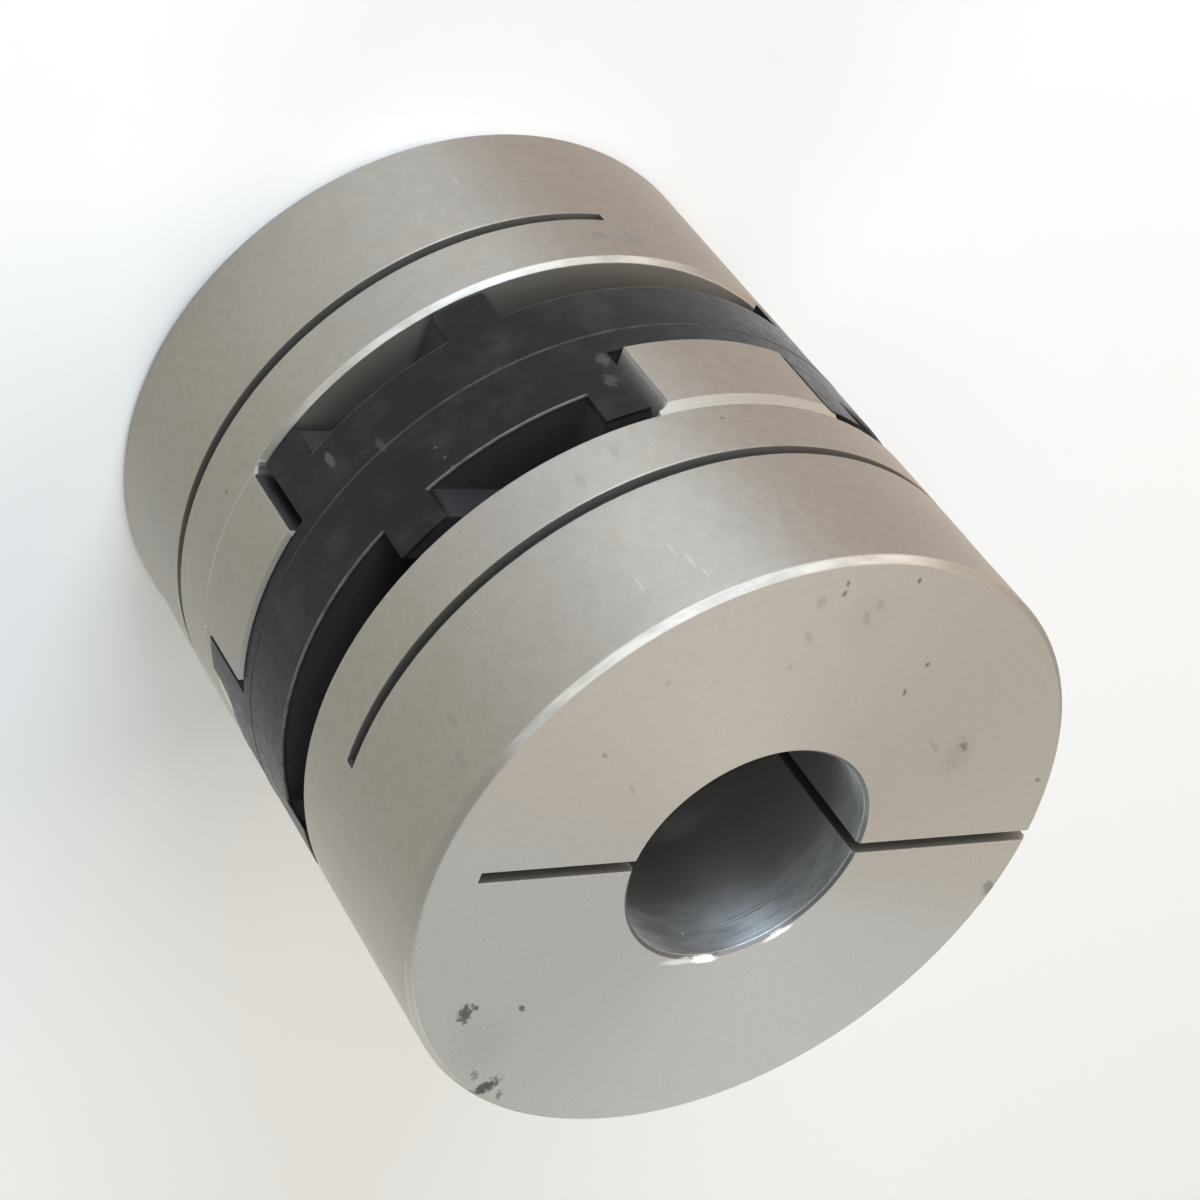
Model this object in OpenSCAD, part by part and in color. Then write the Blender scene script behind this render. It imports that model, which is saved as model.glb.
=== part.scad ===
// Cross-slider flexible coupling with two clamp hubs and a moulded centre disc.
// It stands on the end face of the rear hub, with the shaft axis along Z.
// The rear tenons lie along X and the front tenons along Y.

/* [Hubs] */
// Outside diameter of both hubs
hub_d = 55; // [52:0.5:60]
// Length of one hub body without its tenons
hub_len = 19.25; // [18:0.25:24]
// Bevel on the outside edge of the end face
end_bevel = 0.5; // [0.2:0.1:1]
// Bevel on the outside edge beside the disc
inner_bevel = 0.4; // [0.2:0.1:0.8]

/* [Bore] */
// Diameter of the shaft bore
bore_d = 20; // [12:0.5:22]
// Bevel at the mouth of the bore
bore_bevel = 0.25; // [0.2:0.05:0.8]
// Wall of the relief that widens the bore between the tenons
relief_step = 2; // [1:0.25:3]

/* [Tenons] */
// Width of the tenons
tenon_w = 14.2; // [12:0.1:16]
// Height of the tenons above the hub face
tenon_h = 7.9; // [6.5:0.05:9]
// Rise of the tenons' outer faces above the outside of the hub
tenon_rise = 0.35; // [0.1:0.05:0.5]
// Height of the slope from the outside of the hub to the tenons' outer faces
foot_slope = 0.9; // [0.5:0.1:1.5]
// Bevel on the tip edges of the tenons
tenon_bevel = 0.3; // [0.1:0.1:0.6]
// Fillet between the tenon flank and the hub face
tenon_fillet = 0.9; // [0.4:0.1:1.2]

/* [Clamp slits] */
// Width of the slits
slit_w = 1; // [0.6:0.1:1.5]
// Height of the clamp arm, from the end face to the cross slit
arm_h = 12.6; // [11.5:0.1:14]
// Wall left uncut at the hinge of the clamp arm
hinge_wall = 4.3; // [3:0.1:6]

/* [Clamp screws] */
// Thread diameter of the clamp screws
screw_d = 5; // [4:0.5:5.5]
// Length of the clamp screws under the head
screw_len = 16; // [14:1:18]
// Diameter of the screw heads
head_d = 8.5; // [7:0.25:9]
// Height of the screw heads
head_h = 5; // [4:0.25:5]
// Bevel on the top of the screw heads
head_bevel = 0.4; // [0.2:0.1:0.6]
// Width across the flats of the hexagon socket
socket_w = 4; // [3:0.25:4.5]
// Depth of the hexagon socket
socket_depth = 2.5; // [1.5:0.25:3]
// Distance of the screws from the outside of the hub
screw_inset = 8; // [7.5:0.25:9]
// Distance of the head seat from the slit plane
seat_off = 7.5; // [6:0.25:8]
// Clearance around the screw in the clamp arm
arm_clear = 0.25; // [0.1:0.05:0.4]
// Clearance around the screw head in its counterbore
head_clear = 0.5; // [0.3:0.05:0.6]
// Clearance around the screw in the threaded hole
thread_clear = 0.05; // [0.02:0.01:0.1]
// Empty depth below the tip of the screw
tip_room = 1.5; // [1:0.25:2.5]

/* [Centre disc] */
// Drop of the disc's rim below the outer faces of the tenons
disc_drop = 0.35; // [0.1:0.05:1]
// Thickness of the disc between the floors of its two slots
core_t = 3.7; // [3:0.1:6]
// Thickness of the rim
rim_t = 11.3; // [9:0.1:13]
// Thickness of the slot walls
wall_t = 4.35; // [3:0.05:4.5]
// Thickness of the cross ribs
rib_t = 3.7; // [2.5:0.05:4]
// Distance of the cross ribs from the shaft axis
rib_off = 12.8; // [12:0.1:14]
// Free gap between the ribs and the face of the hub
rib_gap = 0.8; // [0.4:0.1:1.2]
// Clearance between a tenon flank and its slot wall
slot_clear = 0.05; // [0.03:0.01:0.15]
// Bevel at the mouths of the slots
mouth_bevel = 1.4; // [0.6:0.1:1.6]
// Diameter of the hole through the disc
disc_hole_d = 16; // [12:0.5:20]

/* [Hidden] */
$fn = 128;
over = 1;
hub_r = hub_d / 2;
bore_r = bore_d / 2;
relief_r = bore_r + relief_step;
tenon_r = hub_r + tenon_rise;
hub_top = hub_len + tenon_h;
foot_z = hub_len - inner_bevel;
bevel_stop = tenon_w / 2 + tenon_fillet;
screw_z = arm_h / 2;
screw_off = hub_r - screw_inset;
seat_depth = seat_off + slit_w / 2;
hole_depth = screw_len - seat_depth + tip_room;
disc_r = tenon_r - disc_drop;
slot_half = tenon_w / 2 + slot_clear;
wall_half = slot_half + wall_t;
wall_bevel = tenon_fillet;
rib_top = core_t / 2 + tenon_h - rib_gap;
mid_z = hub_top + core_t / 2;
total_len = 2 * mid_z;

// Turned blank of the hub, with a raised ring where the tenons will stand
module hub_blank() {
    rotate_extrude()
        polygon([
            [0, 0],
            [hub_r - end_bevel, 0],
            [hub_r, end_bevel],
            [hub_r, foot_z],
            [tenon_r, foot_z + foot_slope],
            [tenon_r, hub_top - tenon_bevel],
            [tenon_r - tenon_bevel, hub_top],
            [0, hub_top]
        ]);
}

// Mill path that leaves one flank of the tenons, with a round corner at its foot
module flank_mill(side) {
    flank = tenon_w / 2;
    corner = [for (a = [180:15:270]) [
        flank + tenon_fillet + tenon_fillet * cos(a),
        hub_len + tenon_fillet + tenon_fillet * sin(a)
    ]];
    tip = [
        [hub_d, hub_len],
        [hub_d, hub_top + over],
        [flank - tenon_bevel - over, hub_top + over],
        [flank, hub_top - tenon_bevel]
    ];
    mirror([0, side > 0 ? 0 : 1, 0])
        rotate([90, 0, 90])
            translate([0, 0, -hub_d])
                linear_extrude(2 * hub_d)
                    polygon(concat(corner, tip));
}

// Bevel on the outside edge beside the disc, left out where the tenons stand
module inner_bevel_cut() {
    difference() {
        rotate_extrude()
            polygon([
                [hub_r + over, foot_z - over],
                [hub_r + over, hub_len + over],
                [hub_r - inner_bevel - over, hub_len + over]
            ]);
        translate([-hub_d, -bevel_stop, 0])
            cube([2 * hub_d, 2 * bevel_stop, hub_top + over]);
    }
}

// Bore with its mouth bevel and the relief between the tenons
module bore_cut() {
    rotate_extrude()
        polygon([
            [0, -over],
            [bore_r + bore_bevel + over, -over],
            [bore_r, bore_bevel],
            [bore_r, hub_len],
            [relief_r, hub_len],
            [relief_r, hub_top + over],
            [0, hub_top + over]
        ]);
}

// Lengthwise slit up to the hinge, and the cross slit that frees the clamp arm
module slit_cut() {
    translate([-slit_w / 2, -hub_r + hinge_wall, -over])
        cube([slit_w, hub_d, arm_h + slit_w / 2 + over]);
    translate([-slit_w / 2, -hub_d, arm_h])
        cube([hub_d, 2 * hub_d, slit_w]);
}

// Counterbore, clearance hole and blind threaded hole of the clamp screw
module screw_cut() {
    translate([0, screw_off, screw_z])
        rotate([0, 90, 0]) {
            translate([0, 0, seat_off])
                cylinder(d = head_d + 2 * head_clear, h = hub_r);
            cylinder(d = screw_d + 2 * arm_clear, h = seat_off + over);
            translate([0, 0, -slit_w / 2 - hole_depth])
                cylinder(d = screw_d + 2 * thread_clear, h = hole_depth + slit_w);
        }
}

// One hub, its end face at z = 0 and its tenons on top along X
module hub() {
    difference() {
        hub_blank();
        flank_mill(1);
        flank_mill(-1);
        inner_bevel_cut();
        bore_cut();
        slit_cut();
        screw_cut();
    }
}

// One clamp screw in the place it takes in a hub
module clamp_screw() {
    translate([seat_off, screw_off, screw_z])
        rotate([0, 90, 0])
            difference() {
                rotate_extrude()
                    polygon([
                        [0, -screw_len],
                        [screw_d / 2 - head_bevel, -screw_len],
                        [screw_d / 2, -screw_len + head_bevel],
                        [screw_d / 2, 0],
                        [head_d / 2, 0],
                        [head_d / 2, head_h - head_bevel],
                        [head_d / 2 - head_bevel, head_h],
                        [0, head_h]
                    ]);
                translate([0, 0, head_h - socket_depth])
                    cylinder(d = socket_w / cos(30), h = socket_depth + over, $fn = 6);
            }
}

// Turns a rear piece end for end and by a quarter, into the front piece
module to_front() {
    translate([0, 0, total_len])
        rotate([0, 0, -90])
            rotate([180, 0, 0])
                children();
}

// Pockets on the rear side of the disc, which leave the slot walls and cross ribs
module disc_pockets() {
    depth = rib_top - rim_t / 2;
    rib_end = rib_off + rib_t;
    for (side = [-1, 1])
        translate([0, side * (wall_half + hub_r / 2), mid_z - rim_t / 2 - depth / 2 - over / 2]) {
            cube([2 * rib_off, hub_r, depth + over], center = true);
            for (end = [-1, 1])
                translate([end * (rib_end + hub_r / 2), 0, 0])
                    cube([hub_r, hub_r, depth + over], center = true);
        }
}

// Slot on the rear side of the disc, with bevelled walls and mouths
module disc_slot() {
    depth = rib_top - core_t / 2;
    mouth_x = sqrt(disc_r * disc_r - slot_half * slot_half);
    translate([0, 0, mid_z - core_t / 2])
        rotate([90, 0, 90])
            translate([0, 0, -hub_d])
                linear_extrude(2 * hub_d)
                    polygon([
                        [-slot_half, 0],
                        [-slot_half, wall_bevel - depth],
                        [-slot_half - wall_bevel - over, -depth - over],
                        [slot_half + wall_bevel + over, -depth - over],
                        [slot_half, wall_bevel - depth],
                        [slot_half, 0]
                    ]);
    for (end = [-1, 1], side = [-1, 1])
        translate([end * mouth_x, side * slot_half, mid_z - core_t / 2 - depth / 2])
            rotate([0, 0, 45])
                cube([mouth_bevel * sqrt(2), mouth_bevel * sqrt(2), depth], center = true);
}

module rear_hub() {
    color([0.78, 0.77, 0.74])
        hub();
}

module front_hub() {
    color([0.78, 0.77, 0.74])
        to_front()
            hub();
}

module rear_clamp_screw() {
    color([0.16, 0.16, 0.17])
        clamp_screw();
}

module front_clamp_screw() {
    color([0.16, 0.16, 0.17])
        to_front()
            clamp_screw();
}

module centre_disc() {
    color([0.05, 0.05, 0.06])
        difference() {
            translate([0, 0, mid_z - rib_top])
                cylinder(r = disc_r, h = 2 * rib_top);
            disc_pockets();
            to_front()
                disc_pockets();
            disc_slot();
            to_front()
                disc_slot();
            translate([0, 0, mid_z - hub_len])
                cylinder(d = disc_hole_d, h = 2 * hub_len);
        }
}

rear_hub();
front_hub();
centre_disc();
rear_clamp_screw();
front_clamp_screw();
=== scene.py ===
import math
import bmesh
import bpy
from mathutils import Matrix, Vector


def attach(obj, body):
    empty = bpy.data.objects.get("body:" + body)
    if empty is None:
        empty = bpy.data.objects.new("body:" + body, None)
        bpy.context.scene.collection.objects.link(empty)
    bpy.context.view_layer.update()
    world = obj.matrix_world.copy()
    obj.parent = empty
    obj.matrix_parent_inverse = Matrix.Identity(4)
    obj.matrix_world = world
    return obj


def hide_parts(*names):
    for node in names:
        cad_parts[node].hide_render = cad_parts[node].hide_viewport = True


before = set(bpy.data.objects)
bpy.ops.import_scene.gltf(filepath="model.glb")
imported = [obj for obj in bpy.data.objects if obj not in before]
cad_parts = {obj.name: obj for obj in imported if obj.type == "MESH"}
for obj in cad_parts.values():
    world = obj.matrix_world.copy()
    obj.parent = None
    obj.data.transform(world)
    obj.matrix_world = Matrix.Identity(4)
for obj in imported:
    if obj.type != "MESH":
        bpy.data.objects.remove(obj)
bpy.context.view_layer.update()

# The rear hub is the half that stands on the table: an aluminium bar end, turned, bored and milled
# to two tenons, then slit so that an arm closes on the shaft. It is left satin, with the bore
# brighter than the rest and a painted highlight on the turned bevels on one side.
ARM_H = 12.6
SLIT_W = 1.0
SATIN = (0.358, 0.326, 0.284, 1)
SATIN_COOL = (0.336, 0.316, 0.284, 1)
# The next two colours are painted shade: warm and dark on one side of the hub, olive and dark on
# another.
WARM_PAINTED_SHADE = (0.292, 0.243, 0.200, 1)
OLIVE_PAINTED_SHADE = (0.325, 0.296, 0.246, 1)
# The end face is painted warm on one side and cool on the other, as painted light.
FACED_PAINTED_WARM = (0.435, 0.399, 0.353, 1)
FACED_COOL = (0.426, 0.421, 0.402, 1)
MOTTLE_PALE = (0.47, 0.45, 0.425, 1)
SPECK_DARK = (0.21, 0.203, 0.19, 1)
# The bevels carry a painted highlight on the bright side and painted shade elsewhere, with worn
# patches.
BEVEL_PAINTED_HIGHLIGHT = (0.50, 0.483, 0.452, 1)
BEVEL_WORN = (0.365, 0.352, 0.325, 1)
BEVEL_PAINTED_SHADE = (0.245, 0.236, 0.220, 1)
BORE_GREY = (0.76, 0.80, 0.815, 1)
# Deeper in the bore the colour turns dark, as painted shade.
BORE_PAINTED_SHADE = (0.43, 0.415, 0.395, 1)
BORE_STAIN = (0.52, 0.545, 0.555, 1)
# The bore mouth bevel is painted dark, as painted shade, with lighter worn patches.
MOUTH_PAINTED_SHADE = (0.11, 0.11, 0.107, 1)
MOUTH_WORN = (0.20, 0.20, 0.198, 1)
FOOT_PALE = (0.39, 0.36, 0.318, 1)
FOOT_SHADE = (0.33, 0.304, 0.268, 1)
MILLED_GREY = (0.41, 0.39, 0.352, 1)
# The tenon flanks are painted: dark on the rear hub as painted shade, pale on the front hub as
# painted light.
REAR_FLANK_PAINTED_SHADE = (0.085, 0.083, 0.080, 1)
# The slit walls are painted darker than the satin, as painted shade in the slits.
SLIT_PAINTED_SHADE = (0.18, 0.172, 0.16, 1)
RUBBED = (0.26, 0.25, 0.24, 1)
# Bright marks: fresh scratches on the outside, and painted highlights on the front bore mouth.
NICK_AND_PAINTED_GLINT = (0.88, 0.86, 0.83, 1)
GRIME = (0.055, 0.053, 0.050, 1)

# Sides of the hub that get painted light and shade: the warm and the olive painted shade and the
# bevels' painted highlight. The directions are a thousand long, to turn metres to mm.
PAINTED_WARM_SIDE = (-260.0, -966.0, 0)
PAINTED_SHADE_SIDE = (985.0, -174.0, 0)
PAINTED_HIGHLIGHT_SIDE = (469.0, -883.0, 0)

# Each zone's mask is 0 at the first value and 1 at the second, in mm from the axis (R), from the
# end face (Z) or from the middle of a slit.
END_FACE_Z = (0.03, 0.01)
END_BEVEL_R = (26.93, 27.12)
END_BEVEL_Z = (0.66, 0.36)
MOUTH_R = (10.28, 10.24)
MOUTH_Z = (0.27, 0.23)
FOOT_START_Z = (18.83, 18.87)
FOOT_STOP_Z = (19.78, 19.73)
FOOT_R = (27.47, 27.50)
RIM_STOP_Z = (19.245, 19.23)
RIM_START_R = (27.08, 27.12)
RIM_STOP_R = (27.50, 27.47)
TIP_START_Z = (26.83, 26.87)
TIP_STOP_Z = (27.14, 27.12)
BORE_STOP_R = (10.15, 10.05)
BORE_STOP_Z = (19.3, 19.2)
MILLED_START_Z = (19.2, 19.24)
MILLED_STOP_R = (27.8, 27.7)
FLANK_START_Z = (19.29, 19.35)
SLIT_SIDE = (0.53, 0.505)
SLIT_START_R = (10.05, 10.2)
SLIT_STOP_R = (27.46, 27.40)
SLIT_START_Z = (0.02, 0.06)
LONG_SLIT_STOP_Z = (13.2, 13.1)
ZONE_ROUGHNESS = (
    ("End face", 0.95), ("Bevels", 0.62), ("Tenon foot", 0.62), ("Milled", 0.46),
    ("Flanks", 0.58), ("Bore", 0.40), ("Bore mouth", 0.62), ("Slits", 0.6),
)


def feed(tree, sockets, values):
    for socket, value in zip(sockets, values):
        if isinstance(value, bpy.types.NodeSocket):
            tree.links.new(value, socket)
        elif value is not None:
            socket.default_value = value


def put(tree, kind, *feeds, **traits):
    node = tree.nodes.new("ShaderNode" + kind)
    for trait, value in traits.items():
        setattr(node, trait, value)
    feed(tree, node.inputs, feeds)
    return node


def calc(tree, operation, *feeds):
    return put(tree, "Math", *feeds, operation=operation).outputs[0]


def times(tree, first, *others):
    for other in others:
        first = calc(tree, "MULTIPLY", first, other)
    return first


def rise(tree, value, low, high):
    step = put(tree, "MapRange", value, low, high, 0.0, 1.0, interpolation_type="SMOOTHSTEP")
    return step.outputs[0]


def tinted(tree, mask, under, over):
    mix = put(tree, "Mix", mask, data_type="RGBA")
    feed(tree, (mix.inputs[6], mix.inputs[7]), (under, over))
    return mix.outputs[2]


def mixed(tree, mask, under, over):
    return put(tree, "Mix", mask, None, under, over, data_type="FLOAT").outputs[0]


def noise(tree, place, scale, detail, roughness):
    return put(tree, "TexNoise", place, None, scale, detail, roughness).outputs[0]


def vector(tree, operation, *feeds):
    return put(tree, "VectorMath", *feeds, operation=operation).outputs


def out_from_axis(tree, place):
    flat = vector(tree, "MULTIPLY", place, (1, 1, 0))[0]
    return vector(tree, "LENGTH", flat)["Value"]


def effect(name, takes, gives):
    group = bpy.data.node_groups.new(name, "ShaderNodeTree")
    for label, kind, value in takes:
        socket = group.interface.new_socket(label, in_out="INPUT", socket_type="NodeSocket" + kind)
        socket.default_value = value
    for label in gives:
        group.interface.new_socket(label, in_out="OUTPUT", socket_type="NodeSocketFloat")
    group_in = group.nodes.new("NodeGroupInput").outputs
    group_out = group.nodes.new("NodeGroupOutput").inputs
    return group, group_in, group_out


def placed(tree, group, *feeds):
    return put(tree, "Group", *feeds, node_tree=group).outputs


def new_material(name):
    material = bpy.data.materials.new(name)
    material.use_nodes = True
    tree = material.node_tree
    return material, tree, tree.nodes["Principled BSDF"]


def in_mm(tree, where, shift=(0, 0, 0), turn=(0, 0, 0)):
    return put(tree, "Mapping", where, shift, turn, (1000, 1000, 1000)).outputs[0]


def bumped(tree, shader, height, strength, distance, normal=None):
    bump = put(tree, "Bump")
    bump.inputs["Strength"].default_value = strength
    bump.inputs["Distance"].default_value = distance
    tree.links.new(height, bump.inputs["Height"])
    if normal is not None:
        tree.links.new(normal, bump.inputs["Normal"])
    tree.links.new(bump.outputs[0], shader.inputs["Normal"])


zones, zone_in, zone_out = effect(
    "hub_zones",
    [("Place", "Vector", (0, 0, 0))],
    ["Radius", "Height", "End face", "Bevels", "Tenon foot", "Bore mouth", "Bore", "Milled",
     "Flanks", "Slits"],
)
out_r = out_from_axis(zones, zone_in["Place"])
split = put(zones, "SeparateXYZ", zone_in["Place"]).outputs
at_z = split["Z"]
end_face = rise(zones, at_z, *END_FACE_Z)
end_edge = times(zones, rise(zones, out_r, *END_BEVEL_R), rise(zones, at_z, *END_BEVEL_Z))
bore_mouth = times(zones, rise(zones, out_r, *MOUTH_R), rise(zones, at_z, *MOUTH_Z))
past_foot = rise(zones, at_z, *FOOT_START_Z)
tenon_foot = times(
    zones, past_foot, rise(zones, at_z, *FOOT_STOP_Z), rise(zones, out_r, *FOOT_R)
)
inner_edge = times(
    zones, past_foot, rise(zones, at_z, *RIM_STOP_Z),
    rise(zones, out_r, *RIM_START_R), rise(zones, out_r, *RIM_STOP_R),
)
tip_edge = times(zones, rise(zones, at_z, *TIP_START_Z), rise(zones, at_z, *TIP_STOP_Z))
bevels = calc(zones, "MAXIMUM", end_edge, calc(zones, "MAXIMUM", inner_edge, tip_edge))
bore_wall = times(zones, rise(zones, out_r, *BORE_STOP_R), rise(zones, at_z, *BORE_STOP_Z))
milled = times(zones, rise(zones, at_z, *MILLED_START_Z), rise(zones, out_r, *MILLED_STOP_R))
flanks = times(zones, milled, rise(zones, at_z, *FLANK_START_Z))
off_cross = calc(zones, "ABSOLUTE", calc(zones, "SUBTRACT", at_z, ARM_H + SLIT_W / 2))
cross_slit = rise(zones, off_cross, *SLIT_SIDE)
off_long = calc(zones, "ABSOLUTE", split["X"])
long_slit = times(
    zones, rise(zones, off_long, *SLIT_SIDE), rise(zones, at_z, *LONG_SLIT_STOP_Z)
)
slit_wall = times(
    zones, calc(zones, "MAXIMUM", cross_slit, long_slit), rise(zones, out_r, *SLIT_STOP_R),
    rise(zones, at_z, *SLIT_START_Z), rise(zones, out_r, *SLIT_START_R),
    calc(zones, "SUBTRACT", 1.0, bevels),
)
for label, mask in (
    ("Radius", out_r), ("Height", at_z), ("End face", end_face), ("Bevels", bevels),
    ("Tenon foot", tenon_foot), ("Bore mouth", bore_mouth), ("Bore", bore_wall),
    ("Milled", milled), ("Flanks", flanks), ("Slits", slit_wall),
):
    zones.links.new(mask, zone_out[label])

grain, grain_in, grain_out = effect(
    "blasted_grain",
    [("Place", "Vector", (0, 0, 0)), ("Fineness", "Float", 5.0)],
    ["Height", "Cloud", "Mottle"],
)
speck = noise(grain, grain_in["Place"], grain_in["Fineness"], 3.0, 0.65)
cloud = noise(grain, grain_in["Place"], 0.09, 3.0, 0.55)
mottle = noise(grain, grain_in["Place"], 1.1, 4.0, 0.6)
grain.links.new(speck, grain_out["Height"])
grain.links.new(rise(grain, cloud, 0.32, 0.68), grain_out["Cloud"])
grain.links.new(rise(grain, mottle, 0.3, 0.7), grain_out["Mottle"])

turning, turning_in, turning_out = effect(
    "turning_lines",
    [("Along", "Float", 0.0), ("Pitch", "Float", 0.2)],
    ["Height"],
)
per_mm = calc(turning, "DIVIDE", 1.0, turning_in["Pitch"])
lines = put(
    turning, "TexNoise", None, turning_in["Along"], per_mm, 2.0, noise_dimensions="1D"
)
turning.links.new(lines.outputs[0], turning_out["Height"])

pits, pits_in, pits_out = effect(
    "scattered_pits",
    [("Place", "Vector", (0, 0, 0)), ("Per mm", "Float", 0.35), ("Share", "Float", 0.3),
     ("Size", "Float", 0.12)],
    ["Mask"],
)
cells = put(pits, "TexVoronoi", pits_in["Place"], None, pits_in["Per mm"])
cell_mix = put(pits, "SeparateColor", cells.outputs["Color"]).outputs
gap_mm = calc(pits, "DIVIDE", cells.outputs["Distance"], pits_in["Per mm"])
pit_ragged = noise(pits, pits_in["Place"], 6.0, 2.0, 0.6)
pit_size = times(pits, cell_mix[1], pits_in["Size"], times(pits, pit_ragged, 2.0))
pit_near = calc(pits, "GREATER_THAN", pit_size, gap_mm)
pit_soft = rise(pits, calc(pits, "SUBTRACT", pit_size, gap_mm), 0.0, 0.05)
pit_here = calc(pits, "GREATER_THAN", pits_in["Share"], cell_mix[0])
pits.links.new(times(pits, pit_near, pit_soft, pit_here), pits_out["Mask"])

scuff, scuff_in, scuff_out = effect(
    "one_scuff",
    [("Place", "Vector", (0, 0, 0)), ("Middle", "Vector", (0, 0, 0)), ("Turn", "Float", 0.0),
     ("Long", "Float", 1.0), ("Wide", "Float", 0.5), ("Ragged", "Float", 0.8)],
    ["Mask"],
)
from_middle = vector(scuff, "SUBTRACT", scuff_in["Place"], scuff_in["Middle"])[0]
turned_in = put(scuff, "VectorRotate", from_middle, rotation_type="Z_AXIS")
scuff.links.new(scuff_in["Turn"], turned_in.inputs["Angle"])
reach = put(scuff, "CombineXYZ", scuff_in["Long"], scuff_in["Wide"], 1.0).outputs[0]
in_reach = vector(scuff, "DIVIDE", turned_in.outputs[0], reach)[0]
far = vector(scuff, "LENGTH", in_reach)["Value"]
torn = calc(scuff, "SUBTRACT", noise(scuff, scuff_in["Place"], 2.6, 3.0, 0.65), 0.5)
torn = times(scuff, torn, scuff_in["Ragged"], 2.0)
scuff.links.new(rise(scuff, calc(scuff, "ADD", far, torn), 1.0, 0.45), scuff_out["Mask"])


# A mark is its middle in mm, its turn, its half length and half width, how ragged it is and how
# strong.
def marked(tree, place, marks, under=None):
    for middle, turn, long, wide, ragged, strong in marks:
        mask = placed(tree, scuff, place, middle, turn, long, wide, ragged)[0]
        mark = times(tree, mask, strong)
        under = mark if under is None else calc(tree, "MAXIMUM", under, mark)
    return under


def hub_finish(name, turn, shift, painted_flank_shading, scuffs, rubs, nicks_and_glints):
    finish, tree, shader = new_material(name)
    where = put(tree, "TexCoord").outputs["Object"]
    place = in_mm(tree, where, shift, turn)
    zone = placed(tree, zones, place)
    skin = placed(tree, grain, place, 5.0)
    fine = placed(tree, grain, place, 14.0)
    rings = placed(tree, turning, zone["Radius"], 0.35)[0]
    passes = placed(tree, turning, zone["Height"], 0.18)[0]
    streaked = put(tree, "Mapping", place, (0, 0, 0), (0, 0, 0), (0.25, 0.25, 1.1)).outputs[0]
    smears = noise(tree, streaked, 0.9, 3.0, 0.6)
    pit = times(tree, placed(tree, pits, place, 0.30, 0.22, 0.26)[0], 0.6)
    marks = marked(tree, place, scuffs, pit)
    smear = marked(tree, place, rubs)

    def toward(side):
        return vector(tree, "DOT_PRODUCT", where, side)["Value"]

    def facing(side, low, high):
        return rise(tree, calc(tree, "DIVIDE", toward(side), zone["Radius"]), low, high)

    satin = tinted(tree, skin["Cloud"], SATIN, SATIN_COOL)
    # One side of the hub is painted olive-dark and another warm and dark, as painted shade.
    satin = tinted(tree, facing(PAINTED_SHADE_SIDE, 0.90, 1.0), satin, OLIVE_PAINTED_SHADE)
    satin = tinted(tree, facing(PAINTED_WARM_SIDE, 0.80, 0.97), satin, WARM_PAINTED_SHADE)
    # The end face is painted warm towards the warm side, as painted light.
    faced = tinted(tree, rise(tree, toward(PAINTED_WARM_SIDE), -6.0, 4.0), FACED_COOL, FACED_PAINTED_WARM)
    colour = tinted(tree, zone["End face"], satin, faced)
    colour = tinted(tree, times(tree, fine["Mottle"], 0.16), colour, MOTTLE_PALE)
    hollows = times(tree, rise(tree, skin["Height"], 0.48, 0.25), 0.30)
    colour = tinted(tree, hollows, colour, SPECK_DARK)
    colour = tinted(tree, zone["Milled"], colour, MILLED_GREY)
    # The tenon flanks get their painted shade or painted light, one per hub.
    colour = tinted(tree, zone["Flanks"], colour, painted_flank_shading)
    # The bevels are painted bright on one side as a painted highlight and dull elsewhere as
    # painted shade.
    bevel_colour = tinted(tree, rise(tree, smears, 0.35, 0.65), BEVEL_PAINTED_HIGHLIGHT, BEVEL_WORN)
    bevel_colour = tinted(tree, facing(PAINTED_HIGHLIGHT_SIDE, 0.72, 0.88), BEVEL_PAINTED_SHADE, bevel_colour)
    colour = tinted(tree, times(tree, zone["Bevels"], 0.9), colour, bevel_colour)
    foot_colour = tinted(tree, skin["Height"], FOOT_PALE, FOOT_SHADE)
    colour = tinted(tree, zone["Tenon foot"], colour, foot_colour)
    bore_worn = tinted(tree, rise(tree, smears, 0.35, 0.7), BORE_GREY, BORE_STAIN)
    bore_depth = calc(tree, "ADD", zone["Height"], times(tree, skin["Cloud"], 2.0))
    # The bore is painted darker with depth, as painted shade inside it.
    bore_colour = tinted(tree, rise(tree, bore_depth, 3.2, 7.5), bore_worn, BORE_PAINTED_SHADE)
    colour = tinted(tree, zone["Bore"], colour, bore_colour)
    # The bore mouth bevel is painted dark as painted shade, with lighter worn patches.
    mouth_colour = tinted(tree, rise(tree, skin["Cloud"], 0.5, 0.9), MOUTH_PAINTED_SHADE, MOUTH_WORN)
    colour = tinted(tree, zone["Bore mouth"], colour, mouth_colour)
    # The slit walls are painted darker, as painted shade in the slits.
    colour = tinted(tree, zone["Slits"], colour, SLIT_PAINTED_SHADE)
    colour = tinted(tree, smear, colour, RUBBED)
    colour = tinted(tree, marks, colour, GRIME)
    # Bright marks are fresh scratches, or painted highlights where they sit on the bore mouth.
    for bright_mark in nicks_and_glints:
        colour = tinted(tree, marked(tree, place, [bright_mark]), colour, NICK_AND_PAINTED_GLINT)
    tree.links.new(colour, shader.inputs["Base Color"])

    rough = mixed(tree, fine["Mottle"], 0.45, 0.48)
    for label, value in ZONE_ROUGHNESS:
        rough = mixed(tree, zone[label], rough, value)
    rough = mixed(tree, marks, rough, 0.75)
    tree.links.new(rough, shader.inputs["Roughness"])
    shader.inputs["Anisotropic"].default_value = 0.45
    shader.inputs["Anisotropic Rotation"].default_value = 0.25
    bare = calc(tree, "SUBTRACT", 1.0, times(tree, marks, 0.8))
    tree.links.new(bare, shader.inputs["Metallic"])

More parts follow.
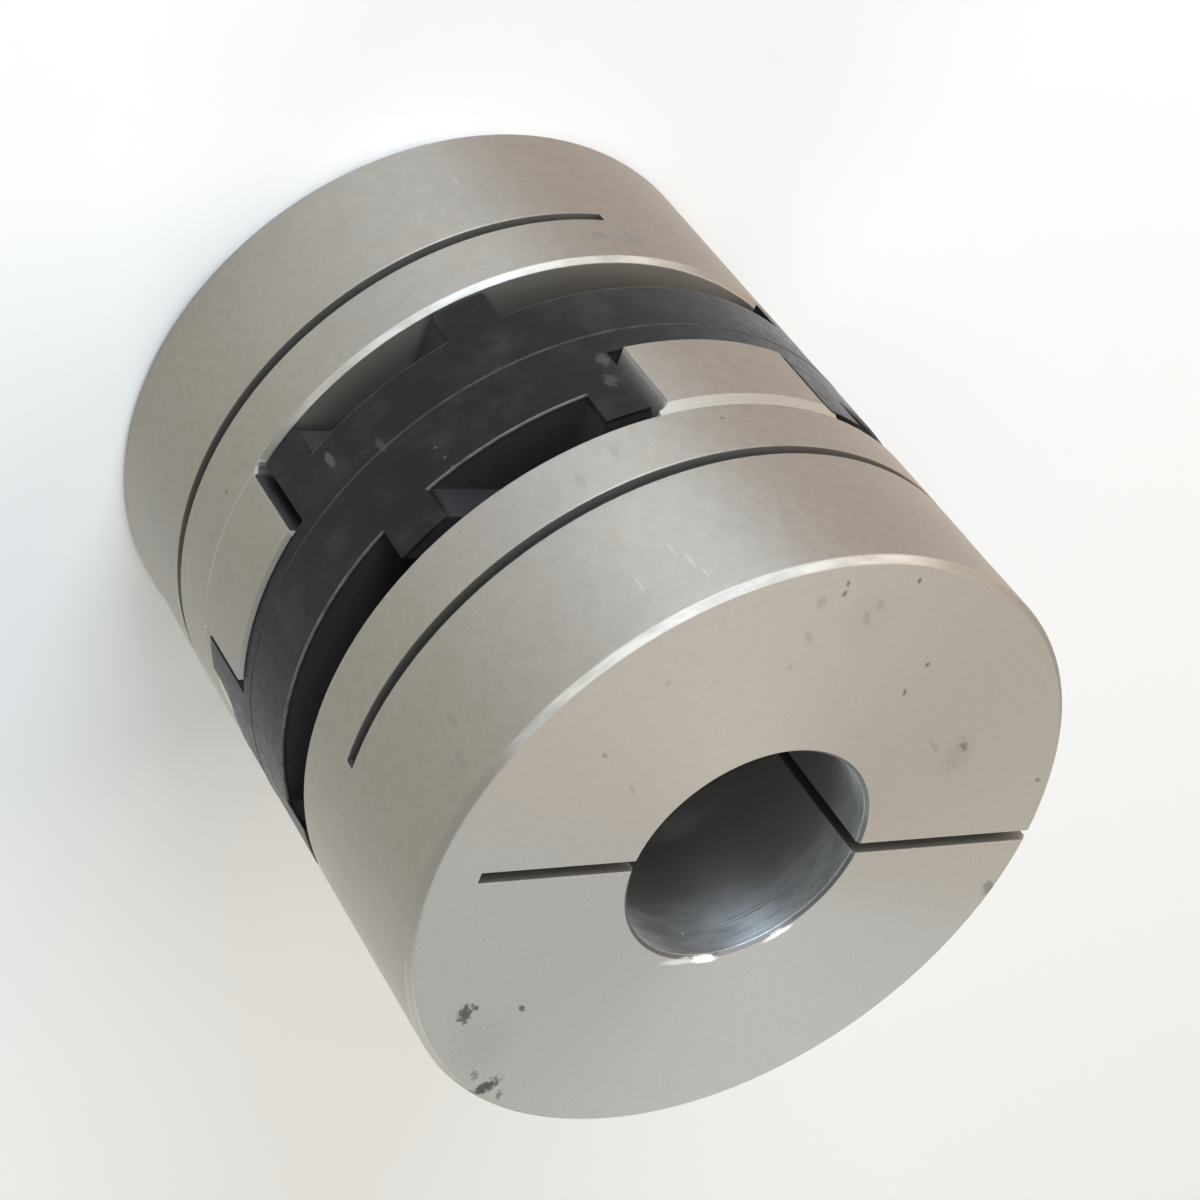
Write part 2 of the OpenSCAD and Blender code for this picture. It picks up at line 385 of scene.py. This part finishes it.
    height = calc(tree, "ADD", times(tree, skin["Height"], 0.5), times(tree, fine["Height"], 0.35))
    height = calc(tree, "ADD", height, times(tree, rings, zone["End face"], 0.35))
    height = mixed(tree, zone["Bore"], height, times(tree, passes, 0.6))
    height = mixed(tree, zone["Bevels"], height, times(tree, passes, 0.3))
    height = calc(tree, "SUBTRACT", height, times(tree, marks, 1.2))
    soft_edge = put(tree, "Bevel", 0.00018).outputs[0]
    bumped(tree, shader, height, 0.6, 0.000035, soft_edge)
    return finish


rear_satin = hub_finish(
    "rear_satin_aluminium",
    (0, 0, 0),
    (0, 0, 0),
    REAR_FLANK_PAINTED_SHADE,
    [
        ((1.3, -27.47, 16.1), 0.2, 0.9, 0.4, 1.2, 0.35),
        ((-1.9, -27.4, 16.3), 0.3, 1.2, 0.5, 1.2, 0.3),
    ],
    [((-1.0, -27.5, 15.8), 0.1, 4.5, 2.0, 1.4, 0.35)],
    [
        ((9.0, -26.0, 6.0), 0.0, 0.12, 0.10, 0.3, 0.10),
        ((11.5, -25.0, 9.5), 0.0, 0.10, 0.08, 0.3, 0.09),
    ],
)
rear_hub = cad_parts["rear_hub"]
rear_hub.data.materials.clear()
rear_hub.data.materials.append(rear_satin)

# The rear clamp screw is a black-oxide socket cap screw. It lies across the slit, its head sunk in
# the arm and its thread in the fixed half, and it draws the arm down on the shaft.
SCREW_SEAT = 7.5
SCREW_OFF = 19.5
SCREW_Z = 6.3
HEAD_R = 4.25
HEAD_H = 5.0
HEAD_BEVEL = 0.25
HEAD_SIDES = 96
KNURL_LEAD = 0.15
KNURL_LEN = 3.7
KNURL_IN = 0.968
CROWN_STEPS = ((0.45, 0.992), (0.3, 0.93), (0.0, 0.70))
HEX_R = 2.31
HEX_CUTS = 15
SOCKET_SINK = 0.25
SOCKET_DEPTH = 2.25
SOCKET_POINT = (-0.5, 0.06)
SHANK_R = 2.5
SHANK_LEN = 16.0
SHANK_BEVEL = 0.6
CORE_SHARE = 0.83
TIP_SHARE = 0.8
PITCH = 0.8
THREAD_TURNS = 17
THREAD_STEPS = 24
THREAD_START = 0.95
THREAD_PROFILE = ((1.95, -0.35), (2.5, -0.06), (2.5, 0.06), (1.95, 0.35))
OXIDE_DARK = (0.045, 0.045, 0.05, 1)
OXIDE_PALE = (0.075, 0.07, 0.068, 1)
OXIDE_WORN = (0.22, 0.21, 0.20, 1)


def lifted(bm, edges, up, spread=1.0):
    grown = bmesh.ops.extrude_edge_only(bm, edges=edges)["geom"]
    ring = [part for part in grown if isinstance(part, bmesh.types.BMVert)]
    bmesh.ops.translate(bm, verts=ring, vec=(0, 0, up))
    if spread != 1.0:
        bmesh.ops.scale(bm, verts=ring, vec=(spread, spread, 1))
    return [part for part in grown if isinstance(part, bmesh.types.BMEdge)]


def edges_of(verts):
    return list(dict.fromkeys(edge for vert in verts for edge in vert.link_edges))


def cleaned(bm):
    bmesh.ops.remove_doubles(bm, verts=bm.verts, dist=0.0005)
    bmesh.ops.recalc_face_normals(bm, faces=bm.faces)


# Extruding lists the new faces in no fixed order. Sorting along a slanting line makes runs alike.
def ordered(bm):
    slant = Vector((1.0, 0.317, 7.913))
    bm.verts.sort(key=lambda vert: vert.co.dot(slant))
    bm.edges.sort(key=lambda edge: (edge.verts[0].co + edge.verts[1].co).dot(slant))
    bm.faces.sort(key=lambda face: face.calc_center_median().dot(slant))


def to_metres(bm):
    bmesh.ops.scale(bm, verts=bm.verts, vec=(0.001, 0.001, 0.001))


def new_piece(name, bm):
    mesh = bpy.data.meshes.new(name)
    bm.to_mesh(mesh)
    bm.free()
    piece = bpy.data.objects.new(name, mesh)
    bpy.context.scene.collection.objects.link(piece)
    return piece


def cap_screw(name, to_place):
    bm = bmesh.new()
    under_r = HEAD_R - HEAD_BEVEL
    circle = bmesh.ops.create_circle(bm, radius=under_r, segments=HEAD_SIDES)["verts"]
    under_rim = edges_of(circle)
    wall = lifted(bm, under_rim, HEAD_BEVEL, HEAD_R / under_r)
    knurl_low = lifted(bm, wall, KNURL_LEAD)
    knurl_high = lifted(bm, knurl_low, KNURL_LEN)
    for ring in (knurl_low, knurl_high):
        verts = sorted(
            {vert for edge in ring for vert in edge.verts},
            key=lambda vert: math.atan2(vert.co.y, vert.co.x),
        )
        bmesh.ops.scale(bm, verts=verts[::2], vec=(KNURL_IN, KNURL_IN, 1))
    face = lifted(bm, knurl_high, KNURL_LEAD)
    for up, spread in CROWN_STEPS:
        face = lifted(bm, face, up, spread)
    hexagon = bmesh.ops.create_circle(bm, radius=HEX_R, segments=6)["verts"]
    bmesh.ops.translate(bm, verts=hexagon, vec=(0, 0, HEAD_H - SOCKET_SINK))
    bmesh.ops.subdivide_edges(bm, edges=edges_of(hexagon), cuts=HEX_CUTS)
    mouth = [edge for edge in bm.edges if edge.is_wire]
    bmesh.ops.bridge_loops(bm, edges=face + mouth)
    socket_floor = lifted(bm, mouth, -SOCKET_DEPTH)
    bmesh.ops.contextual_create(bm, geom=lifted(bm, socket_floor, *SOCKET_POINT))
    seat = lifted(bm, under_rim, 0.0, SHANK_R / under_r)
    neck = lifted(bm, seat, -SHANK_BEVEL, CORE_SHARE)
    core = lifted(bm, neck, -SHANK_LEN + 2 * SHANK_BEVEL)
    bmesh.ops.contextual_create(bm, geom=lifted(bm, core, -SHANK_BEVEL, TIP_SHARE))
    profile = [bm.verts.new((r, 0, z)) for r, z in THREAD_PROFILE]
    flute = [bm.edges.new((profile[i], profile[(i + 1) % 4])) for i in range(4)]
    bmesh.ops.translate(bm, verts=profile, vec=(0, 0, -THREAD_START))
    thread = bmesh.ops.spin(
        bm, geom=profile + flute, cent=(0, 0, 0), axis=(0, 0, 1),
        dvec=(0, 0, -PITCH / THREAD_STEPS), angle=2 * math.pi * THREAD_TURNS,
        steps=THREAD_STEPS * THREAD_TURNS, use_merge=False,
    )["geom_last"]
    thread_end = [part for part in thread if isinstance(part, bmesh.types.BMEdge)]
    bmesh.ops.contextual_create(bm, geom=thread_end)
    bmesh.ops.contextual_create(bm, geom=flute)
    cleaned(bm)
    ordered(bm)
    across = Matrix.Rotation(math.pi / 2, 4, "Y")
    in_hub = Matrix.Translation((SCREW_SEAT, SCREW_OFF, SCREW_Z))
    bmesh.ops.transform(bm, verts=bm.verts, matrix=to_place @ in_hub @ across)
    to_metres(bm)
    screw = new_piece(name, bm)
    return screw


black_oxide, oxide, oxide_shader = new_material("black_oxide_steel")
oxide_place = in_mm(oxide, put(oxide, "TexCoord").outputs["Object"])
oxide_skin = placed(oxide, grain, oxide_place, 9.0)
oxide_wear = placed(oxide, pits, oxide_place, 1.2, 0.5, 0.35)[0]
oxide_colour = tinted(oxide, oxide_skin["Mottle"], OXIDE_DARK, OXIDE_PALE)
oxide_colour = tinted(oxide, times(oxide, oxide_wear, 0.5), oxide_colour, OXIDE_WORN)
oxide.links.new(oxide_colour, oxide_shader.inputs["Base Color"])
oxide_shader.inputs["Metallic"].default_value = 0.9
oxide_rough = mixed(oxide, oxide_skin["Mottle"], 0.3, 0.42)
oxide.links.new(oxide_rough, oxide_shader.inputs["Roughness"])
bumped(oxide, oxide_shader, oxide_skin["Height"], 0.4, 0.00001)

rear_screw = cap_screw("rear_cap_screw", Matrix.Identity(4))
rear_screw.data.materials.append(black_oxide)
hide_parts("rear_clamp_screw")
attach(rear_screw, "rear")

# The centre disc is moulded in black plastic, with a slot across each side for the tenons and ribs
# between pockets on its rim. It floats between the hubs and slides along both pairs of tenons.
MID_Z = 29.0
PARTING_Z = 28.55
RIM_HALF = 5.65
RIB_OFF = 12.8
RIB_END = 16.5
WALL_END = 24.98
SOFT = 0.1
RIM_R = (27.3, 27.45)
POCKET_R = (27.35, 26.9)
PARTING_SIDE = (0.14, 0.05)
EDGE_SIDE = (0.16, 0.04)
EDGE_R = (27.2, 27.4)
# The pocket edges on the rim carry a painted highlight, weaker on the rear half.
REAR_EDGE_HIGHLIGHT = 0.2
BLACK = (0.0066, 0.0055, 0.0052, 1)
BLACK_WORN = (0.0205, 0.0183, 0.0175, 1)
# Inside the rim the plastic is painted lighter, as painted light in the shaded pockets.
POCKET_PAINTED_LIGHT = (0.031, 0.029, 0.029, 1)
DUST = (0.085, 0.083, 0.082, 1)
# The parting line and the rim edges are painted pale: the moulding's flash with a painted
# highlight along the edges.
FLASH_AND_HIGHLIGHT = (0.20, 0.188, 0.173, 1)
CHIPPED = (0.085, 0.082, 0.08, 1)

disc_black, moulded, moulded_shader = new_material("moulded_black_plastic")
disc_place = in_mm(moulded, put(moulded, "TexCoord").outputs["Object"])
disc_split = put(moulded, "SeparateXYZ", disc_place).outputs
disc_r = out_from_axis(moulded, disc_place)
disc_skin = placed(moulded, grain, disc_place, 7.0)
on_rim = rise(moulded, disc_r, *RIM_R)
off_parting = calc(moulded, "SUBTRACT", disc_split["Z"], PARTING_Z)
off_parting = calc(moulded, "ABSOLUTE", off_parting)
parting = times(moulded, rise(moulded, off_parting, *PARTING_SIDE), on_rim)
off_mid = calc(moulded, "ABSOLUTE", calc(moulded, "SUBTRACT", disc_split["Z"], MID_Z))
off_edge = calc(moulded, "ABSOLUTE", calc(moulded, "SUBTRACT", off_mid, RIM_HALF))
broken = rise(moulded, noise(moulded, disc_place, 0.8, 3.0, 0.6), 0.35, 0.6)
upper_half = rise(moulded, disc_split["Z"], MID_Z, MID_Z + 1.0)
off_x = calc(moulded, "ABSOLUTE", disc_split["X"])
off_y = calc(moulded, "ABSOLUTE", disc_split["Y"])
past_rib = mixed(moulded, upper_half, off_x, off_y)
on_rib = times(
    moulded, rise(moulded, past_rib, RIB_OFF - SOFT, RIB_OFF + SOFT),
    rise(moulded, past_rib, RIB_END + SOFT, RIB_END - SOFT),
)
by_pocket = times(
    moulded, calc(moulded, "SUBTRACT", 1.0, on_rib),
    rise(moulded, past_rib, WALL_END + SOFT, WALL_END - SOFT),
)
# The parting line and the pocket edges are painted pale: the flash of the moulding with a painted
# highlight, weaker on the rear half.
rim_edge_highlight = times(
    moulded, rise(moulded, off_edge, *EDGE_SIDE), rise(moulded, disc_r, *EDGE_R), by_pocket,
    mixed(moulded, upper_half, REAR_EDGE_HIGHLIGHT, 1.0),
)
flash_and_highlight = calc(moulded, "MAXIMUM", times(moulded, parting, 0.35), rim_edge_highlight)
flash_and_highlight = times(moulded, flash_and_highlight, mixed(moulded, broken, 0.55, 1.0))
dust = placed(moulded, pits, disc_place, 0.5, 0.4, 0.20)[0]
fine_dust = placed(moulded, pits, disc_place, 1.7, 0.3, 0.09)[0]
dusty = calc(moulded, "MAXIMUM", dust, times(moulded, fine_dust, 0.7))
dusty = times(moulded, dusty, on_rim)
chips = marked(moulded, disc_place, [
    ((24.5, -12.5, 25.3), 0.4, 0.55, 0.45, 0.7, 0.7),
    ((22.6, -15.8, 28.0), 0.4, 0.5, 0.4, 0.7, 0.35),
    ((20.4, -18.5, 35.2), 0.8, 0.6, 0.4, 0.8, 0.6),
    ((8.8, -26.0, 31.5), 0.2, 0.5, 1.2, 1.0, 0.45),
    ((9.4, -25.8, 34.0), 0.2, 0.5, 1.2, 1.0, 0.35),
])
smudge = rise(moulded, noise(moulded, disc_place, 0.28, 4.0, 0.6), 0.45, 0.75)
disc_colour = tinted(moulded, smudge, BLACK, BLACK_WORN)
# Inside the rim the plastic is painted lighter, as painted light in the shaded pockets.
disc_colour = tinted(moulded, rise(moulded, disc_r, *POCKET_R), disc_colour, POCKET_PAINTED_LIGHT)
disc_colour = tinted(moulded, times(moulded, dusty, 0.7), disc_colour, DUST)
disc_colour = tinted(moulded, times(moulded, flash_and_highlight, 0.8), disc_colour, FLASH_AND_HIGHLIGHT)
disc_colour = tinted(moulded, chips, disc_colour, CHIPPED)
moulded.links.new(disc_colour, moulded_shader.inputs["Base Color"])
disc_rough = mixed(moulded, disc_skin["Mottle"], 0.26, 0.38)
disc_rough = mixed(moulded, calc(moulded, "MAXIMUM", dusty, chips), disc_rough, 0.7)
moulded.links.new(disc_rough, moulded_shader.inputs["Roughness"])
moulded_shader.inputs["Specular IOR Level"].default_value = 0.18
disc_height = calc(
    moulded, "ADD", times(moulded, disc_skin["Height"], 0.15),
    times(moulded, disc_skin["Mottle"], 0.15),
)
disc_height = calc(moulded, "ADD", disc_height, times(moulded, parting, 2.0))
disc_height = calc(moulded, "SUBTRACT", disc_height, times(moulded, chips, 1.5))
disc_soft = put(moulded, "Bevel", 0.00022).outputs[0]
bumped(moulded, moulded_shader, disc_height, 0.5, 0.00002, disc_soft)
centre_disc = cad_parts["centre_disc"]
centre_disc.data.materials.clear()
centre_disc.data.materials.append(disc_black)

# The parting line is the thin ridge that the two halves of the mould leave round the rim of the
# disc. It is of the same black plastic and is one with the moulding.
RIDGE_ROOT_R = 27.44
RIDGE_TOP_R = 27.54
RIDGE_HALF = 0.08
RIDGE_STEPS = 256
bm = bmesh.new()
ridge = [
    bm.verts.new((r, 0, PARTING_Z + z))
    for r, z in ((RIDGE_ROOT_R, -RIDGE_HALF), (RIDGE_TOP_R, 0), (RIDGE_ROOT_R, RIDGE_HALF))
]
ridge_sides = [bm.edges.new((ridge[i], ridge[(i + 1) % 3])) for i in range(3)]
bmesh.ops.spin(
    bm, geom=ridge + ridge_sides, cent=(0, 0, 0), axis=(0, 0, 1),
    angle=2 * math.pi, steps=RIDGE_STEPS, use_merge=True,
)
cleaned(bm)
to_metres(bm)
parting_line = new_piece("parting_line", bm)
parting_line.data.materials.append(disc_black)
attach(parting_line, "disc")

# The front hub is the same turning as the rear one, set end for end and a quarter turn round, so
# that its tenons cross the others. Its end face carries the knocks and grime of handling.
TOTAL_LEN = 58.0
# The front tenon flanks are painted pale, as painted light.
FRONT_FLANK_PAINTED_LIGHT = (0.62, 0.61, 0.565, 1)
front_satin = hub_finish(
    "front_satin_aluminium",
    (math.pi, 0, -math.pi / 2),
    (0, 0, TOTAL_LEN),
    FRONT_FLANK_PAINTED_LIGHT,
    [
        ((-13.5, -19.6, 0), 0.3, 1.1, 0.75, 1.3, 0.9),
        ((-12.9, -19.0, 0), 0.9, 0.5, 0.3, 0.9, 0.8),
        ((-13.5, -14.75, 0), 0.7, 0.5, 0.3, 0.8, 0.8),
        ((-21.6, -15.0, 0), -0.9, 1.5, 0.75, 1.3, 0.95),
        ((-22.7, -13.4, 0), 0.0, 0.6, 0.35, 1.0, 0.5),
        ((-20.1, -16.5, 0), 0.6, 0.7, 0.4, 1.3, 0.35),
        ((25.5, 3.8, 0), 0.3, 0.32, 0.22, 0.6, 0.7),
        ((25.4, -2.5, 0), 0.4, 0.42, 0.2, 0.7, 0.5),
        ((24.5, -2.4, 0), 0.2, 0.35, 0.25, 0.7, 0.55),
        ((17.8, 8.3, 0), 0.0, 0.28, 0.24, 0.6, 0.6),
        ((15.3, 7.4, 0), 0.2, 0.5, 0.18, 0.6, 0.55),
        ((9.7, 15.8, 0), 0.6, 0.6, 0.4, 1.2, 0.4),
        ((5.8, 25.2, 0), 0.0, 0.3, 0.3, 0.7, 0.45),
        ((-5.5, 26.0, 0), 0.4, 1.1, 0.8, 1.4, 0.35),
    ],
    [
        ((22.4, 1.0, 0), 0.2, 3.0, 2.6, 0.6, 0.09),
        ((22.3, 0.6, 0), 0.5, 1.0, 0.45, 0.9, 0.45),
        ((23.4, 1.3, 0), 0.4, 0.8, 0.40, 0.9, 0.35),
        ((23.8, -4.1, 0), 0.2, 0.7, 0.50, 1.0, 0.35),
        ((20.7, -3.8, 0), 0.6, 0.8, 0.40, 1.0, 0.35),
        ((18.1, -4.3, 0), 0.0, 0.5, 0.35, 0.9, 0.30),
        ((9.9, 12.8, 0), 0.9, 1.2, 0.30, 0.9, 0.35),
        ((17.1, -14.2, 0), 0.3, 0.5, 0.30, 0.8, 0.30),
        ((10.8, -17.0, 0), 0.9, 0.45, 0.22, 0.6, 0.75),
        ((7.4, -13.3, 0), 0.8, 0.6, 0.16, 0.7, 0.45),
        ((8.8, 15.5, 0), 0.1, 2.4, 1.6, 1.5, 0.25),
        ((-17.0, -17.0, 0), 0.5, 4.0, 3.0, 1.6, 0.12),
        ((24.5, -12.5, 16.7), 0.3, 0.30, 0.30, 0.6, 0.45),
        ((22.8, -15.3, 15.7), 0.3, 0.45, 0.40, 0.6, 0.45),
        ((9.5, -25.8, 6.0), 0.3, 0.35, 0.60, 0.9, 0.40),
        ((8.4, -26.2, 3.0), 0.3, 0.35, 0.60, 0.9, 0.45),
        ((7.2, -26.5, -0.2), 0.3, 0.35, 0.60, 0.9, 0.35),
    ],
    [
        # The first three, on the bore mouth, are painted highlights; the rest are fresh scratches.
        ((-10.35, 0.3, 0.1), 0.0, 0.45, 1.5, 0.35, 0.9),
        ((-10.3, -1.9, 0.1), 0.0, 0.40, 2.3, 0.35, 0.4),
        ((-8.3, 6.4, 0.1), 0.66, 0.38, 1.7, 0.35, 0.75),
        ((24.3, -12.9, 4.3), 0.5, 0.10, 0.22, 0.3, 0.10),
        ((24.0, -13.4, 6.0), 0.5, 0.08, 0.18, 0.3, 0.09),
        ((24.4, -12.6, 2.8), 0.5, 0.10, 0.15, 0.3, 0.09),
        ((22.2, -16.2, 4.4), 0.6, 0.08, 0.15, 0.3, 0.08),
    ],
)
front_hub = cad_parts["front_hub"]
front_hub.data.materials.clear()
front_hub.data.materials.append(front_satin)

# The front clamp screw is the rear one's twin, a black-oxide cap screw in the front hub's arm.
# It is turned with that hub, so its head faces the other way round the shaft.
quarter_turn = Matrix.Rotation(-math.pi / 2, 4, "Z")
end_for_end = Matrix.Rotation(math.pi, 4, "X")
to_front = Matrix.Translation((0, 0, TOTAL_LEN)) @ quarter_turn @ end_for_end
front_screw = cap_screw("front_cap_screw", to_front)
front_screw.data.materials.append(black_oxide)
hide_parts("front_clamp_screw")
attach(front_screw, "front")

# The table is a wide pale board under the part. It is lit softly enough to stay near white
# and it keeps the part's shadow.
TABLE_HALF = 3.0
BOARD = (0.93, 0.93, 0.93, 1)
BOARD_PALE = (0.95, 0.95, 0.95, 1)
bm = bmesh.new()
bmesh.ops.create_grid(bm, x_segments=2, y_segments=2, size=TABLE_HALF)
table = new_piece("table", bm)
pale_board, board, board_shader = new_material("pale_board")
board_cloud = noise(board, put(board, "TexCoord").outputs["Object"], 3.0, 2.0, 0.5)
board_colour = tinted(board, board_cloud, BOARD, BOARD_PALE)
board.links.new(board_colour, board_shader.inputs["Base Color"])
board_shader.inputs["Roughness"].default_value = 0.9
table.data.materials.append(pale_board)

# The light is a wide warm key lamp, a cool window lamp in front, a warm lamp at the side, a fill
# near the camera and a rim lamp behind. The metal mirrors the white surround, which adds only a
# dim light of its own.
LAMP_AIM = Vector((0, 0, 0.03))
SURROUND_LIGHT = (1.0, 0.99, 0.975, 1)
SURROUND_DIM = 0.28
scene = bpy.context.scene
scene.view_settings.view_transform = "Standard"


def soft_lamp(name, place, size, power, colour):
    lamp = bpy.data.lights.new(name, "AREA")
    lamp.shape = "DISK"
    lamp.size = size
    lamp.energy = power
    lamp.color = colour
    stand = bpy.data.objects.new(name, lamp)
    stand.location = place
    stand.rotation_euler = (LAMP_AIM - Vector(place)).to_track_quat("-Z", "Y").to_euler()
    scene.collection.objects.link(stand)


soft_lamp("key_lamp", (-0.42, -0.40, 0.50), 0.60, 1.9, (1.0, 0.90, 0.79))
soft_lamp("window_lamp", (0.13, -0.56, 0.19), 0.36, 3.7, (0.74, 0.86, 1.0))
soft_lamp("side_lamp", (-0.56, -0.22, 0.14), 0.26, 0.8, (1.0, 0.70, 0.46))
soft_lamp("fill_lamp", (0.30, -0.28, 0.62), 0.45, 1.2, (0.97, 1.0, 0.97))
soft_lamp("rim_lamp", (0.06, 0.58, 0.22), 0.42, 1.5, (0.97, 1.0, 0.93))

surround = bpy.data.worlds.new("surround")
scene.world = surround
surround.use_nodes = True
sky = surround.node_tree
sky.nodes.clear()
ray = put(sky, "LightPath").outputs
seen = calc(sky, "MAXIMUM", ray["Is Camera Ray"], ray["Is Glossy Ray"])
seen = calc(sky, "MAXIMUM", seen, ray["Is Transmission Ray"])
dim = put(sky, "Background", SURROUND_LIGHT, SURROUND_DIM)
white = put(sky, "Background", (1, 1, 1, 1), 1.0)
blend = put(sky, "MixShader", seen, dim.outputs[0], white.outputs[0])
sky.links.new(blend.outputs[0], put(sky, "OutputWorld").inputs["Surface"])

# The camera stands above the front hub and is rolled so that the shaft runs to the lower right.
# Its place and lens are those that the ends of the hubs and the slits gave for the photograph.
eye = bpy.data.cameras.new("eye")
eye.sensor_width = 36.0
eye.lens = 91.09
eye.clip_start = 0.01
eye.clip_end = 20.0
eye_stand = bpy.data.objects.new("eye", eye)
eye_stand.location = (0.132612, -0.126658, 0.188105)
eye_stand.rotation_euler = [math.radians(turn) for turn in (-42.8956, -26.6328, -158.6824)]
scene.collection.objects.link(eye_stand)
scene.camera = eye_stand
